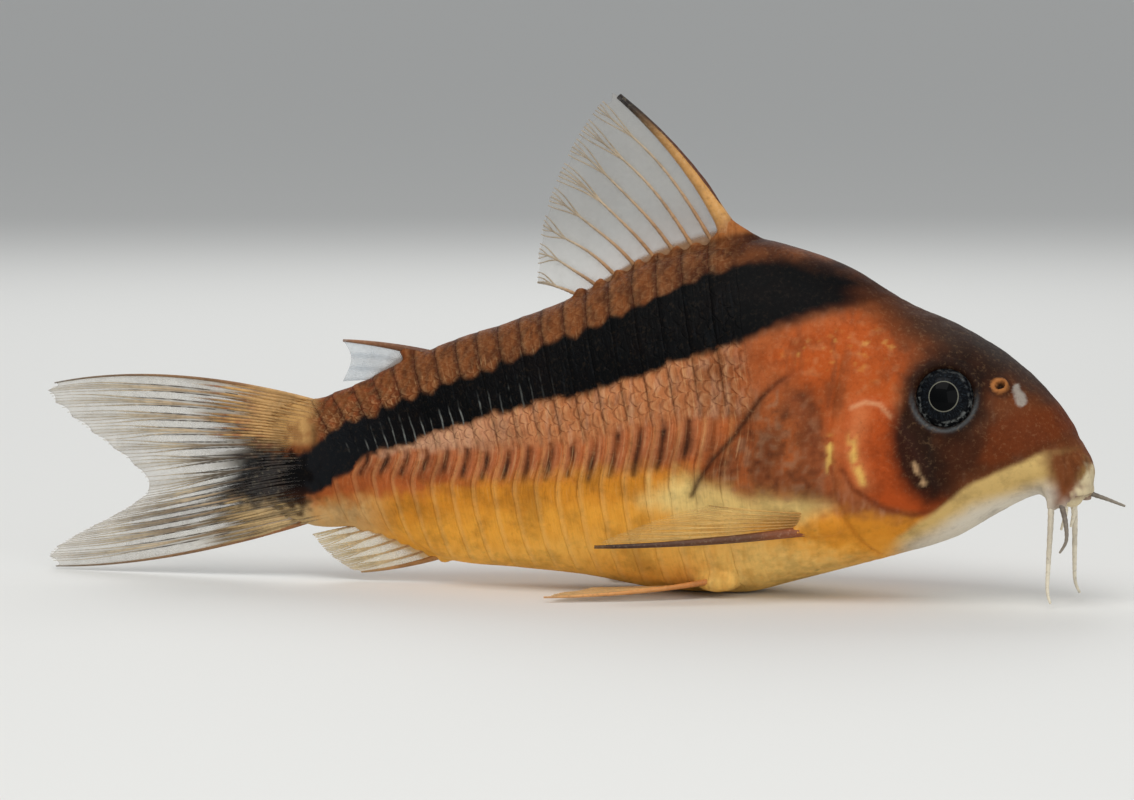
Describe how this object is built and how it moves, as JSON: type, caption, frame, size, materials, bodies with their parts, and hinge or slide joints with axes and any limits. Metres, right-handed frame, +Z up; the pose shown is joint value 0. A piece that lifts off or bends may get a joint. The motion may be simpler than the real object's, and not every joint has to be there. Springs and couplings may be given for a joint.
{
  "type": "corydoras catfish",
  "caption": "Life-size still model of a small armoured catfish with a raised dorsal fin and forked tail, resting on its breast and pelvic fins.",
  "frame": {"origin": "middle of the small flat under the breast on which the fish rests", "axes": "+Z up, +X towards the snout, +Y towards the fish's left side"},
  "size_m": [0.0694, 0.0208, 0.0309],
  "materials": {
    "skin": "wet skin over bony plates: rust brown back, black band along the flank, amber belly",
    "eye": "clear wet eye with a black pupil in a thin pale gold ring and a dark blue grey iris",
    "fin": "thin clear membrane between tan rays",
    "paired_fin": "thin yellow membrane between amber rays, with a brown leading spine",
    "barbel": "soft wet feeler, brown or cream"
  },
  "bodies": {
    "root": {"head": "skin", "trunk": "skin", "tail": "skin", "eye_right": "eye", "eye_left": "eye", "dorsal_fin": "fin", "caudal_fin": "fin", "anal_fin": "fin", "adipose_fin": "fin", "pectoral_fin_right": "paired_fin", "pectoral_fin_left": "paired_fin", "pelvic_fin_right": "paired_fin", "pelvic_fin_left": "paired_fin", "upper_barbel_right": "barbel", "upper_barbel_left": "barbel", "lower_barbel_right": "barbel", "lower_barbel_left": "barbel", "chin_barbel_right": "barbel", "chin_barbel_left": "barbel"}
  },
  "joints": []
}
